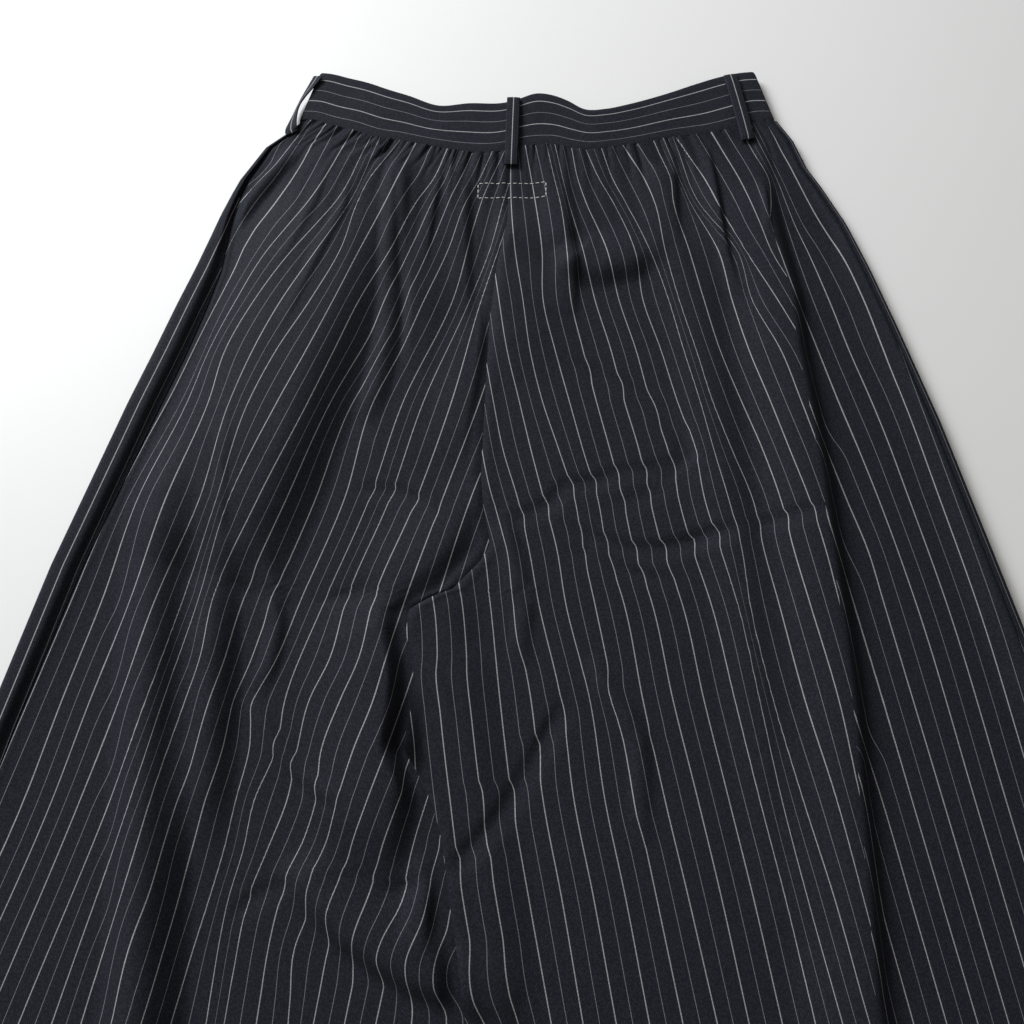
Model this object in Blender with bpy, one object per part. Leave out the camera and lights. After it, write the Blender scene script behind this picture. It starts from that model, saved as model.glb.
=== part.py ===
"""Wide-leg trousers, gathered to a waistband and laid flat with the back side up.

The tables are in millimetres on the surface the trousers lie on, seen from straight above a point
between the legs. +Y is towards the waist, +X is the right of the picture and +Z is up.
The meshes are in metres, with the origin at the centre of the base.
"""

import math

import bmesh
import bpy
import numpy as np

MM = 0.001
CLOTH = 1.5  # wall of a leg panel
HEM_EXTRA = 0.9  # more wall where the hem is turned
GAP = 0.3  # between pieces at a seam
BAND = 1.8  # wall of the doubled waistband
FRONT_BAND_Z = 1.9  # underside of the band's front layer
BACK_BAND_Z = 6.2  # underside of the band's back layer
PANEL_TOP = 4.0  # top of a back panel where it lies plainly on the front panel
GATHER_TOP = 4.2  # how much higher the back panels start, at the band
LEG_LIFT = 3.9  # how far the right leg is lifted where it lies over the left leg
GATHERS = 18  # on each back panel
GATHER_RISE = 1.9
IN_PLAN = 0.986  # the tables were read at the surface, and the cloth is a little above it
SHIFT_X, SHIFT_Y = 0.99, 26.33  # puts the origin at the centre of the base

# Edges of the waistband, left to right: x and y of its top edge, x and y of its lower edge
BAND_EDGES = [
    (-147, 486, -158, 442), (-139, 485, -150, 443), (-125, 481, -135, 438), (-111, 477, -120, 434),
    (-93, 470, -100, 427), (-79, 465, -85, 425), (-56, 456, -61, 420), (-33, 458, -36, 415),
    (-4, 459, -5, 416), (5, 462, 5, 419), (19, 467, 20, 421), (32, 465, 33, 421),
    (43, 460, 45, 418), (54, 453, 57, 417), (71, 453, 75, 419), (88, 457, 93, 422),
    (116, 466, 123, 428), (142, 476, 151, 432), (156, 481, 166, 436), (176, 486, 187, 443),
    (187, 487, 199, 443),
]

# Lines down the garment, from the waist: y, x
BACK_SEAM = [
    (415, -1), (394, -2), (352, -4), (322, -11), (277, -16), (239, -18), (187, -20), (163, -21),
    (139, -19), (119, -15), (114, -15), (106, -20), (95, -30), (86, -38), (82, -49), (78, -57),
    (72, -66),
]
RIGHT_INSEAM = [
    (72, -66), (57, -67), (44, -63), (28, -61), (11, -62), (-10, -65), (-16, -63), (-30, -55),
    (-42, -49), (-59, -43), (-81, -39), (-107, -35), (-127, -31), (-161, -26), (-250, -18),
    (-350, -10), (-540, 0),
]
LEFT_INSEAM = [
    (72, -66), (55, -52), (35, -42), (0, -36), (-40, -30), (-90, -20), (-161, -12), (-230, -14),
    (-300, -22), (-400, -42), (-540, -70),
]
# Outer edges: y, distance from x = 0, width of front cloth folded over on top, height of that fold
RIGHT_EDGE = [
    (443, 201, 5.0, 7.0), (425, 212, 5.0, 7.0), (401, 220, 5.2, 7.0), (385, 229, 5.4, 7.0),
    (354, 244, 5.6, 7.2), (317, 257, 5.8, 7.5), (274, 270, 6.0, 8.0), (200, 291, 6.5, 8.5),
    (100, 315, 7.0, 9.0), (0, 339, 7.0, 9.0), (-161, 376, 7.0, 9.0), (-300, 405, 7.0, 8.5),
    (-480, 440, 7.0, 8.0),
]
LEFT_EDGE = [
    (442, 160, 5.0, 7.0), (430, 172, 5.0, 7.0), (419, 185, 5.0, 7.5), (405, 193, 5.5, 8.0),
    (391, 201.5, 6.0, 8.0), (377, 207, 6.5, 8.5), (360, 213, 9.0, 9.0), (340, 219, 13.0, 9.5),
    (316, 226.5, 18.0, 10.0), (286, 237, 21.0, 10.5), (250, 249, 22.0, 10.5), (213, 262, 22.0, 10.5),
    (100, 298, 20.0, 10.0), (0, 324, 18.0, 10.0), (-161, 362, 17.0, 10.0), (-300, 395, 15.0, 9.0),
    (-480, 442, 12.0, 8.0),
]

# How much higher a row is at its outer end: y at the inner end, difference
ROW_TILT = [(415, 27), (350, 16), (277, 12), (170, 10), (72, 10), (-65, 15), (-250, 30), (-540, 60)]
FINE_ROWS = [415, 408, 396, 378]
COARSE_ROWS = [
    350, 315, 277, 240, 205, 170, 140, 119, 106, 95, 84, 72, 50, 20, -10, -40, -75, -115, -161,
    -230, -300, -400, -470, -510, -540,
]
FRONT_ROWS = [
    415, 396, 350, 277, 205, 140, 106, 84, 72, 50, 20, -10, -40, -75, -161, -230, -300, -400, -470, -540,
]

# Folds of the back panels: spread to the left, spread to the right, then x, y, rise along the fold
FOLDS = {
    "left shoulder": (10, 9, [
        (-159, 422, 0), (-169, 405, 4), (-183, 384, 5), (-198, 361, 4), (-205, 349, 0)]),
    "left outer roll": (32, 46, [
        (-125, 418, 1.5), (-141, 398, 2), (-158, 365, 2.4), (-175, 328, 2.4), (-187, 292, 2.4),
        (-195, 257, 2.4), (-202, 223, 2.2), (-207, 187, 2), (-211, 160, 0)]),
    "left middle roll": (106, 42, [
        (-88, 418, 1), (-99, 389, 5), (-112, 344, 9.5), (-123, 298, 12.5), (-137, 251, 15),
        (-148, 210, 15.5), (-157, 175, 15.5), (-167, 142, 13.5), (-176, 113, 9), (-183, 89, 0)]),
    "left inner roll": (12, 12, [
        (-82, 418, 1.5), (-85, 385, 4), (-86, 339, 5), (-85, 298, 5), (-88, 260, 4.5), (-94, 223, 3.5),
        (-103, 199, 0)]),
    "left of the tack": (32, 8, [
        (-37, 405, 1), (-36, 378, 3), (-35, 344, 3.6), (-34, 308, 3), (-32, 279, 0)]),
    "left of the seam": (30, 7, [
        (-24, 293, 0), (-24, 261, 2.5), (-28, 227, 3), (-33, 194, 2), (-36, 170, 0)]),
    "crotch roll": (50, 17, [
        (-32, 158, 0), (-34, 139, 3), (-42, 117, 5.5), (-56, 100, 6), (-75, 89, 4.5), (-91, 84, 0)]),
    "left low outer": (28, 27, [
        (-235, 188, 0), (-232, 150, 7), (-230, 103, 11), (-226, 52, 13.5), (-222, -2, 14.5),
        (-217, -52, 15), (-212, -105, 15), (-209, -155, 14), (-224, -480, 4)]),
    "left low middle": (25, 19, [
        (-195, 118, 0), (-191, 91, 6), (-188, 52, 9.5), (-185, 4, 9.5), (-184, -36, 7), (-184, -67, 2),
        (-182, -89, 0)]),
    "left low bump": (10, 8, [
        (-163, 113, 0), (-154, 88, 3), (-149, 62, 3.5), (-152, 38, 3), (-160, 19, 0)]),
    "left low inner": (60, 18, [
        (-88, 87, 0), (-82, 62, 7), (-78, 37, 10), (-76, 13, 10), (-78, -10, 9.5), (-86, -36, 8),
        (-93, -61, 5), (-98, -87, 0)]),
    "right main fold": (48, 14, [
        (181, 428, 0), (183, 391, 4), (184, 365, 8), (188, 336, 9), (195, 295, 10.5), (195, 252, 11.5),
        (199, 212, 11.5), (202, 166, 11.5), (204, 109, 11.5), (206, 58, 11.5), (207, 10, 11.5),
        (205, -41, 11.5), (204, -95, 11.5), (202, -146, 11.5), (208, -300, 8), (218, -480, 4)]),
    "right outer tuck": (24, 6, [
        (144, 416, 2), (148, 381, 4), (150, 347, 4), (156, 311, 1.5), (161, 293, 0)]),
    "right middle roll": (28, 26, [
        (109, 383, 2), (121, 332, 3), (131, 268, 3.5), (138, 201, 4), (143, 144, 4), (149, 91, 4),
        (154, 28, 4), (159, -31, 3), (162, -97, 2)]),
    "right upper tuck": (26, 6, [(115, 412, 0), (118, 394, 3), (118, 369, 2.5), (119, 338, 0)]),
    "right inner roll": (22, 7, [
        (27, 416, 1), (35, 377, 3.5), (40, 343, 4.5), (43, 321, 4.5), (42, 292, 2), (41, 278, 0)]),
    "right ledge beside the seam": (22, 30, [(-12, 357, 0), (4, 347, 3), (24, 337, 2.4), (36, 324, 0)]),
    "right ledge": (17, 34, [
        (35, 334, 0), (43, 322, 5.5), (64, 318, 6.5), (84, 323, 6.2), (98, 335, 3), (106, 347, 0)]),
    "right inseam roll": (9, 24, [
        (-55, 62, 1), (-54, 20, 1.4), (-54, -10, 1.8), (-38, -50, 1.8), (-26, -107, 1.6),
        (-15, -161, 1.4), (-5, -300, 1), (6, -480, 1)]),
    "over the zip": (28, 28, [(0, 415, 1), (0, 350, 1.6), (-8, 290, 1.6), (-13, 215, 1.4)]),
}


def ease(t):
    t = np.clip(t, 0, 1)
    return t * t * (3 - 2 * t)


def down(line, y, column=1):
    """Value of a line's column at y, for lines that run down the garment."""
    rows = line[::-1]
    return np.interp(y, [row[0] for row in rows], [row[column] for row in rows])


def inseam(leg, y):
    return down(RIGHT_INSEAM if leg > 0 else LEFT_INSEAM, y)


def edge(leg, y, column=1):
    return down(RIGHT_EDGE if leg > 0 else LEFT_EDGE, y, column)


def inner_line(leg, y, front):
    """x of a panel's inner boundary: the centre seam, then the inseam."""
    seam = down(BACK_SEAM, y) + (4 * ease((y - 72) / 20) if front else 0)
    return np.where(y >= 72, seam, inseam(leg, y))


def band_edge(x, top=False):
    """y of the band's top or lower edge."""
    first = 0 if top else 2
    return np.interp(x, [p[first] for p in BAND_EDGES], [p[first + 1] for p in BAND_EDGES])


def fold_rise(x, y):
    """Sum of the folds at each point, each fading to nothing at its spread."""
    total = np.zeros_like(x)
    for left, right, points in FOLDS.values():
        nearest = np.full(x.shape, 1e9)
        rise = np.zeros_like(x)
        sign = np.zeros_like(x)
        for (ax, ay, ar), (bx, by, br) in zip(points, points[1:]):
            dx, dy = bx - ax, by - ay
            t = np.clip(((x - ax) * dx + (y - ay) * dy) / (dx * dx + dy * dy), 0, 1)
            away = np.hypot(x - ax - t * dx, y - ay - t * dy)
            closer = away < nearest
            nearest = np.where(closer, away, nearest)
            rise = np.where(closer, ar + t * (br - ar), rise)
            sign = np.where(closer, (x - ax) * dy - (y - ay) * dx, sign)
        spread = np.where(sign > 0, left, right)  # the folds run down, so left of them is positive
        total += rise * (1 - np.clip(nearest / spread, 0, 1) ** 2) ** 2
    return total


def leg_lift(x, y):
    """Height of the right leg's underside where it lies over the left leg."""
    inner = np.where(y >= 72, down(BACK_SEAM, y), down(LEFT_INSEAM, y))
    over = ease((inner - down(RIGHT_INSEAM, y) + 30) / 20)
    return LEG_LIFT * ease((inner + 34 - x) / 28) * np.where(y >= 72, ease((112 - y) / 40), over)


def edge_top(leg, height):
    """Height of the cloth at the side seam, for the height of the fold beside it."""
    return np.minimum(height, 5.2 if leg < 0 else 9.0)


def back_top(x, y, leg, below):
    """Height of a back panel's upper face. below is the distance under the waistband."""
    z = PANEL_TOP + GATHER_TOP * np.exp(-below / 35) + fold_rise(x, y) * ease(below / 30)
    z = np.maximum(z, PANEL_TOP - 0.4)
    side = ease(1 - (edge(leg, y) - edge(leg, y, 2) - leg * x) / 24)
    seam = edge_top(leg, edge(leg, y, 3))
    z = z + (seam + 2.5 * np.exp(-below / 25) * (leg < 0) - z) * side * ease(below / 15)
    if leg > 0:
        return z + leg_lift(x, y)
    beside = np.exp(-(((x - down(BACK_SEAM, y)) / 22) ** 2))
    z = z + LEG_LIFT * beside * ease((y - 72) / 14) * ease((112 - y) / 30)
    # Under the right leg the left leg is plain and flat.
    plain = ease((x - inseam(1, y) + 22) / 14) * ease((76 - y) / 4)
    return z + (3.4 - z) * plain


def front_lift(below):
    """The front panels step up to the band, over the ends of the hidden belt loops."""
    return 2.1 * ease((46 - below) / 28)


def gather_wave(phase, x, below):
    rise = GATHER_RISE * (1 + 0.12 * np.sin(2.3 * phase) + 0.08 * np.sin(5.1 * phase + 1))
    for loop_x in (0.0, 172.0):
        rise = rise * (1 - 0.9 * np.exp(-(((x - loop_x) / 11) ** 4)))
    rise = rise * ease((x + 172) / 14) * ease((203 - x) / 12)
    return rise * np.cos(2 * math.pi * phase) * np.exp(-below / 30)


def outer_end(leg, row):
    """Place along a row's outer end: y, reach, width folded over and height of that fold.

    Rows between two rows of the front panel lie on the straight line that joins them."""
    rows = FRONT_ROWS[::-1]
    ends = [r + down(ROW_TILT, r) for r in rows]
    values = [ends] + [[edge(leg, y, column) for y in ends] for column in (1, 2, 3)]
    return [float(np.interp(row, rows, value)) for value in values]


def inner_end(leg, row, front):
    """Distance from x = 0 of a row's inner end, half a seam's gap from the seam line."""
    here = float(inner_line(leg, np.array(float(row)), front))
    steps = [inner_line(leg, np.array(row + dy), front) - here for dy in (-9.0, 9.0)]
    lean = max(abs(float(step)) / 9 for step in steps) if row >= 72 else 0.3
    return here * leg + GAP / 2 * math.hypot(1, lean)


def row_points(leg, row, x):
    """y of points along a row at distances x from the middle, and distance under the band."""
    x_in = inner_end(leg, row, False)
    outer_y, reach, width, _ = outer_end(leg, row)
    share = (x - x_in) / (reach - width - x_in)
    top = band_edge(leg * x) - 0.8
    follow = math.exp(-(((415 - row) / 60) ** 2))
    y = row + (outer_y - row) * share
    return y + (top - (415 + 27 * share)) * follow, 415.0 - row


def closed_sheet(name, upper, lower, material):
    """Closed wall between two faces, given as rows of points. A row may have half as many steps."""
    starts = [0]
    for row in upper:
        starts.append(starts[-1] + len(row))
    count = starts[-1]
    faces = []
    for r in range(len(upper) - 1):
        a, b = starts[r], starts[r + 1]
        if len(upper[r]) == len(upper[r + 1]):
            faces += [(a + c, b + c, b + c + 1, a + c + 1) for c in range(len(upper[r]) - 1)]
            continue
        for c in range(len(upper[r + 1]) - 1):
            f = a + 2 * c
            faces += [(f, b + c, f + 1), (b + c, b + c + 1, f + 1), (b + c + 1, f + 2, f + 1)]
    faces += [tuple(count + v for v in face[::-1]) for face in faces]
    rim = starts[:-1] + list(range(starts[-2] + 1, count))
    rim += [s - 1 for s in starts[1:-1]][::-1] + list(range(starts[1] - 2, 0, -1))
    faces += [(v, w, count + w, count + v) for v, w in zip(rim, rim[1:] + rim[:1])]
    return add_mesh(name, np.concatenate(list(upper) + list(lower)), faces, material)


def add_mesh(name, points, faces, material):
    placed = np.array(points, float) * MM
    placed[:, 0] = placed[:, 0] * IN_PLAN + SHIFT_X * MM
    placed[:, 1] = placed[:, 1] * IN_PLAN + SHIFT_Y * MM
    mesh = bpy.data.meshes.new(name)
    mesh.from_pydata(placed.tolist(), [], faces)
    shape = bmesh.new()
    shape.from_mesh(mesh)
    bmesh.ops.recalc_face_normals(shape, faces=shape.faces)
    bmesh.ops.triangulate(shape, faces=shape.faces)
    shape.to_mesh(mesh)
    shape.free()
    mesh.materials.append(material)
    made = bpy.data.objects.new(name, mesh)
    bpy.context.scene.collection.objects.link(made)
    return made


def joined(x, y, z):
    return np.stack([x, y, z + np.zeros_like(x)], axis=1)


def back_panel(name, leg, material):
    upper, lower = [], []
    for row in FINE_ROWS + COARSE_ROWS:
        steps = GATHERS * (4 if row in FINE_ROWS else 2)
        fractions = np.linspace(0, 1, steps + 1)
        phase = fractions * GATHERS
        fractions = fractions + 0.006 * np.sin(3.1 * phase + leg) * ease(phase) * ease(GATHERS - phase)
        x_in = inner_end(leg, row, False)
        _, reach, width, _ = outer_end(leg, row)
        x = x_in + (reach - width - GAP - x_in) * fractions
        y, below = row_points(leg, row, x)
        x = leg * x
        top = back_top(x, y, leg, below) + gather_wave(phase, x, below)
        wall = CLOTH + HEM_EXTRA * (row <= -510)
        upper.append(joined(x, y, top + wall - CLOTH))
        lower.append(joined(x, y, top - CLOTH))
    return closed_sheet(name, upper, lower, material)


def front_columns(leg, row):
    """Distances from the middle of a front panel's steps, as far as its side fold."""
    x_in = inner_end(leg, row, True)
    _, reach, _, height = outer_end(leg, row)
    near = x_in + 12
    if leg > 0 and row < 72:
        near = max(float(down(LEFT_INSEAM, row)) + 5, near)
    fold = reach - height / 2
    return np.array([x_in, near, near + 27] + list(np.linspace(near + 27, fold, 5)[1:]))


def front_panel(name, leg, material):
    """The panel on the surface, rolled up over the side edge and ended at the side seam."""
    inside, outside = [], []
    for row in FRONT_ROWS:
        _, reach, width, height = outer_end(leg, row)
        radius = height / 2
        flat = front_columns(leg, row)
        turn = np.radians(np.linspace(-90, 90, 7)[1:])
        strip = np.linspace(reach - radius, reach - width + GAP / 2, 4)[1:]
        drop = ease(np.linspace(0, 1, 4)[1:]) * (height - edge_top(leg, height))
        x_low = np.concatenate([flat, reach - radius + radius * np.cos(turn), strip])
        x_high = np.concatenate([flat, reach - radius + (radius - CLOTH) * np.cos(turn), strip])
        y, below = row_points(leg, row, x_low)
        lift = front_lift(below) * ease((reach - radius - flat) / 30)
        if leg > 0:
            lift = lift + leg_lift(flat, y[:len(flat)]) * (np.arange(len(flat)) < 2)
        z_low = np.concatenate([lift, radius + radius * np.sin(turn), height - drop])
        z_high = np.concatenate([lift + CLOTH, radius + (radius - CLOTH) * np.sin(turn),
                                 height - drop - CLOTH])
        outside.append(joined(leg * x_low, y, z_low))
        inside.append(joined(leg * x_high, y, z_high))
    return closed_sheet(name, inside, outside, material)


def waistband(name, material):
    """One flattened ring, with its two ends lapped at centre front."""
    radius = (BACK_BAND_Z - FRONT_BAND_Z) / 2
    middle = FRONT_BAND_Z + BAND / 2 + radius
    low, lap = FRONT_BAND_Z + BAND / 2, FRONT_BAND_Z + 1.5 * BAND + GAP
    first, last = -158 + radius + BAND / 2, 199 - radius - BAND / 2
    front = [x for x in -front_columns(-1, 415) if x > first + 6]
    right = [x for x in front_columns(1, 415) if 26 < x < last - 6]
    # Along the ring: x at the lower edge, distance out past the end, height, way the face looks
    stops = [(10, 0, low, -90)] + [(x, 0, low, -90) for x in front]
    angles = np.linspace(-90, 90, 7)
    for x, side in ((first, -1), (last, 1)):
        turn = [(x, side * radius * math.cos(math.radians(a)),
                 middle + radius * math.sin(math.radians(a)), a if side > 0 else 180 - a)
                for a in angles]
        if side > 0:
            stops += [(p[2], 0, middle + radius, 90) for p in BAND_EDGES if first + 2 < p[2] < last - 2]
        stops += turn[::-side]
    stops += [(x, 0, low, -90) for x in sorted(right, reverse=True)]
    stops += [(26, 0, low, -90), (14, 0, lap, -90), (front_columns(1, 415)[0], 0, lap, -90),
              (-12, 0, lap, -90)]
    nodes = sorted(list(-front_columns(-1, 415)) + list(front_columns(1, 415)))
    outer, inner = [], []
    for share in (0, 0.5, 1):
        rows = ([], [])
        for x_low, out, z, face in stops:
            x_top = np.interp(x_low, [p[2] for p in BAND_EDGES], [p[0] for p in BAND_EDGES])
            y_low = band_edge(x_low) if z > middle else np.interp(x_low, nodes, band_edge(nodes))
            x = x_top + share * (x_low - x_top) + out
            y = band_edge(x_top, True) + share * (y_low - band_edge(x_top, True))
            nx, nz = math.cos(math.radians(face)), math.sin(math.radians(face))
            rows[0].append((x + nx * BAND / 2, y, z + nz * BAND / 2))
            rows[1].append((x - nx * BAND / 2, y, z - nz * BAND / 2))
        outer.append(np.array(rows[0]))
        inner.append(np.array(rows[1]))
    return closed_sheet(name, outer, inner, material)


# Belt loop in section: distance from its top end, underside, upper side
LOOP_BACK = [
    (0, 8.6, 10.2), (1.5, 8.4, 10.8), (7, 8.4, 11.2), (9, 9.8, 11.4), (24, 10.0, 11.6),
    (43, 9.8, 11.4), (46, 8.8, 11.3), (57, 8.4, 10.8), (60, 8.5, 10.0),
]
LOOP_FRONT = [(0, 0.0, 1.2), (2, 0.0, 1.6), (30, 0.0, 1.6), (58, 0.0, 1.6), (60, 0.0, 1.2)]
LOOP_WIDE = 10.0
# Left loop, standing out from the end of the band: x, y, z, degrees its width leans from upright
LOOP_LEFT = [
    (-148.6, 485, 5.3, 0), (-153.2, 477, 5.5, 0), (-157.6, 468, 5.6, 0), (-161.6, 459, 5.8, 0),
    (-165.2, 451, 6.0, 4), (-167.6, 445, 6.6, 16), (-168.2, 440, 8.0, 40), (-167, 434.5, 9.4, 66),
    (-165.2, 429, 9.4, 86), (-164.6, 423, 8.9, 90),
]
LOOP_WALL = 1.4


def belt_loop(name, start, end, section, material):
    """A strap laid from start to end, with the same section across its width."""
    start, end = np.array(start, float), np.array(end, float)
    along = (end - start) / np.linalg.norm(end - start)
    across = np.array([-along[1], along[0]])
    reach = np.linalg.norm(end - start) / section[-1][0]
    upper, lower = [], []
    for side in (-LOOP_WIDE / 2, 0, LOOP_WIDE / 2):
        places = [start + along * s[0] * reach + across * side for s in section]
        lower.append(np.array([(p[0], p[1], s[1]) for p, s in zip(places, section)]))
        upper.append(np.array([(p[0], p[1], s[2]) for p, s in zip(places, section)]))
    return closed_sheet(name, upper, lower, material)


def standing_loop(name, stations, material):
    """A strap whose width turns from upright to flat along its length."""
    centres = np.array([s[:3] for s in stations], float)
    paths = np.gradient(centres, axis=0)
    upper, lower = ([], [], []), ([], [], [])
    for centre, path, station in zip(centres, paths, stations):
        lean = math.radians(station[3])
        path = path / np.linalg.norm(path)
        side = np.cross([0, 0, 1], path)  # level, to the right on the way down
        side = side / np.linalg.norm(side)
        wide = np.array([0, 0, 1]) * math.cos(lean) + side * math.sin(lean)
        wall = np.cross(path, wide)
        for i, across in enumerate((-LOOP_WIDE / 2, 0, LOOP_WIDE / 2)):
            upper[i].append(centre + wide * across + wall * LOOP_WALL / 2)
            lower[i].append(centre + wide * across - wall * LOOP_WALL / 2)
    return closed_sheet(name, [np.array(r) for r in upper], [np.array(r) for r in lower], material)


def zip_strip(name, material):
    """Plain closed zip behind the centre front seam, between the front and back panels."""
    upper, lower = [], []
    for row in (412, 396, 350, 277, 225):
        x = inner_end(1, row, True) + np.array([-9.0, 0.0, 9.0])
        below = 415.0 - row
        z = front_lift(below) + CLOTH + GAP + np.zeros(3)
        lower.append(joined(x, row + np.zeros(3), z))
        upper.append(joined(x, row + np.zeros(3), z + 1.0))
    return closed_sheet(name, upper, lower, material)


def material(name, colour, roughness):
    made = bpy.data.materials.new(name)
    made.use_nodes = True
    surface = made.node_tree.nodes["Principled BSDF"]
    surface.inputs["Base Color"].default_value = (*colour, 1)
    surface.inputs["Roughness"].default_value = roughness
    return made


for thing in list(bpy.data.objects):
    bpy.data.objects.remove(thing, do_unlink=True)

suiting = material("dark striped suiting", (0.022, 0.025, 0.032), 0.8)
tape = material("zip tape", (0.015, 0.016, 0.02), 0.6)

back_panel("back_left", -1, suiting)
back_panel("back_right", 1, suiting)
front_panel("front_left", -1, suiting)
front_panel("front_right", 1, suiting)
waistband("waistband", suiting)
belt_loop("belt_loop_back", (1.3, 461), (-0.7, 402), LOOP_BACK, suiting)
belt_loop("belt_loop_right", (166.6, 482), (176.4, 424), LOOP_BACK, suiting)
standing_loop("belt_loop_left", LOOP_LEFT, suiting)
belt_loop("belt_loop_front_left", (-95, 474), (-97, 414), LOOP_FRONT, suiting)
belt_loop("belt_loop_front_right", (95, 457), (97, 397), LOOP_FRONT, suiting)
zip_strip("front_zip", tape)
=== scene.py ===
"""Looks of the wide-leg trousers: cloth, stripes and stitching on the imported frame.

Shapes are in millimetres on the surface the trousers lie on, measured from the point under the camera.
+Y is towards the waist, +X is the right of the picture and +Z is up. The back side is up.
Stripes are given where they cross rows of the photograph. Floor, light and camera come last.
"""

import math

import bmesh
import bpy
import numpy as np
from mathutils.bvhtree import BVHTree
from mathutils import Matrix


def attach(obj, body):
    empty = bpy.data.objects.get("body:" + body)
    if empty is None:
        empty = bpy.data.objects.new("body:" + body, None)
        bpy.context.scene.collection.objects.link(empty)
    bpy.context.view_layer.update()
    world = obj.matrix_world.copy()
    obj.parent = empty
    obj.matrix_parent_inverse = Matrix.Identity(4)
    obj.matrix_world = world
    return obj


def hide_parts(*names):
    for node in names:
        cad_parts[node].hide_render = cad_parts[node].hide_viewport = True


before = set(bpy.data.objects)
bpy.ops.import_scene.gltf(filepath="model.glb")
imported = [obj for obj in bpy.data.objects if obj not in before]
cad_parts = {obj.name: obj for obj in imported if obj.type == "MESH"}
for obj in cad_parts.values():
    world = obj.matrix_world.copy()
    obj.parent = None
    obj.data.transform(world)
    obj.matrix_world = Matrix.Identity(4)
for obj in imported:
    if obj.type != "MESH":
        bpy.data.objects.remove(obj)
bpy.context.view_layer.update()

MM = 0.001
WAIST_ROW, CROTCH_ROW = 415, 72  # y of the centre seam's two ends
WAIST_TILT = 27  # how much higher the top row is at its outer end
HEM_ROW, END_ROW = -510, -540  # rows where the turned hem begins and where the leg ends
CLOTH = 0.8  # wall of a leg panel
HEM_EXTRA = 0.7  # how much thicker the turned hem is
SEAM_GAP = 0.2
BAND = 1.4  # wall of the doubled waistband
BAND_HEIGHT, BAND_STRIPE = 42, 7  # the second is from the top edge to the first bold stripe
FRONT_BAND_Z = 2.1  # underside of the band's front layer
BACK_BAND_Z = 6.4  # underside of the band's back layer
PANEL_TOP = 4.0  # top of a back panel where it lies plainly on the front panel
GATHER_TOP = 4.2  # how much higher the back panels start, at the band
LEG_LIFT = 3.9  # how far the right leg is lifted where it lies over the left leg
GATHERS = 26  # tucks on each back panel
GATHER_SEED = 7
GATHER_LEFT, GATHER_RIGHT = -172, 203  # x where the gathers begin and end
FLAT_LOOPS_X = (0.0, 172.0)  # belt loops lying on the back, which press the gathers flat
PANEL_COLUMNS, CREST_COLUMN = 220, 150  # steps across a back panel, and those before the main fold
STRIP_STEPS = 11  # steps across the front cloth that is folded over
HALF_PITCH = 9.27  # from a bold stripe to the next thin one
IN_PLAN = 0.986  # the tables were read at the surface, and the cloth is a little above it
SHIFT_X, SHIFT_Y = 0.99, 26.33  # puts the origin at the centre of the base

CAMERA_Z = 509.6
CAMERA_TILT = 15.0  # degrees from straight down, towards the waist
FOCAL = 803.7  # in the photograph's pixels
PHOTO_SIZE = 1024
PHOTO_MIDDLE = PHOTO_SIZE / 2
PHOTO_PIXEL = 0.65  # width of a pixel on the cloth, about
LAST_ROW, EVEN_AFTER = 1000, 400  # last row with traced stripes, and rows until they are evenly spaced

# Edges of the waistband, left to right: x and y of its top edge, x and y of its lower edge
BAND_EDGES = [
    (-148, 486, -161, 443), (-139, 485, -151, 443), (-125, 481, -135, 438), (-111, 477, -120, 434),
    (-93, 470, -100, 427), (-79, 465, -85, 425), (-56, 456, -61, 420), (-33, 458, -36, 415),
    (-4, 459, -5, 416), (5, 462, 5, 419), (19, 467, 20, 421), (32, 465, 33, 421),
    (43, 460, 45, 418), (54, 453, 57, 417), (71, 453, 75, 419), (88, 457, 93, 422),
    (116, 466, 123, 428), (142, 476, 151, 432), (156, 481, 166, 436), (176, 486, 187, 443),
    (187, 487, 199, 443),
]

# Lines down the garment, from the waist: y, x
BACK_SEAM = [
    (415, -1), (394, -2), (352, -4), (322, -11), (277, -16), (239, -18), (187, -20), (163, -21),
    (139, -19), (119, -15), (114, -15), (106, -20), (95, -30), (86, -38), (82, -49), (78, -57),
    (72, -66),
]
RIGHT_INSEAM = [
    (72, -66), (57, -67), (44, -63), (28, -61), (11, -62), (-10, -65), (-16, -63), (-30, -55),
    (-42, -49), (-59, -43), (-81, -39), (-107, -35), (-127, -31), (-161, -26), (-250, -18),
    (-350, -10), (-540, 0),
]
LEFT_INSEAM = [
    (72, -66), (55, -52), (35, -42), (0, -36), (-40, -30), (-90, -20), (-161, -12), (-230, -14),
    (-300, -22), (-400, -42), (-540, -70),
]
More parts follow.
